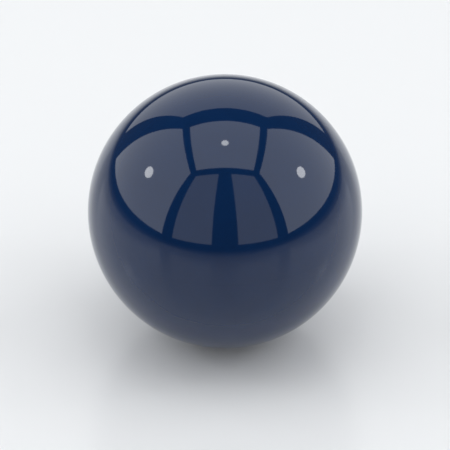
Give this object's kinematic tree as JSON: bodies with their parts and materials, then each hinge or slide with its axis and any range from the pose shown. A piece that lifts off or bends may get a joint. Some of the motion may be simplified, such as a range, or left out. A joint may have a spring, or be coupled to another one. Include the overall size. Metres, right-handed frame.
{
  "type": "croquet ball",
  "caption": "Full-size composite croquet ball: a cork and rubber core cemented inside a glossy navy two-part cover of hard plastic, for striking with a mallet through hoops.",
  "frame": {"origin": "centre of the ball", "axes": "+Z is square to the plane of the cover's seam, from the half with the tongue towards the half with the groove, and up as modelled; X and Y lie in the seam's plane and are alike"},
  "size_m": [0.092, 0.092, 0.092],
  "materials": {
    "cover_plastic": "polished",
    "core_cork_rubber": "matte",
    "core_cement": "satin",
    "seam_cement": "gloss"
  },
  "bodies": {
    "root": {"core": "core_cork_rubber", "core_cement_upper": "core_cement", "core_cement_lower": "core_cement", "cover_upper": "cover_plastic", "cover_lower": "cover_plastic", "seam_cement": "seam_cement"}
  },
  "joints": []
}
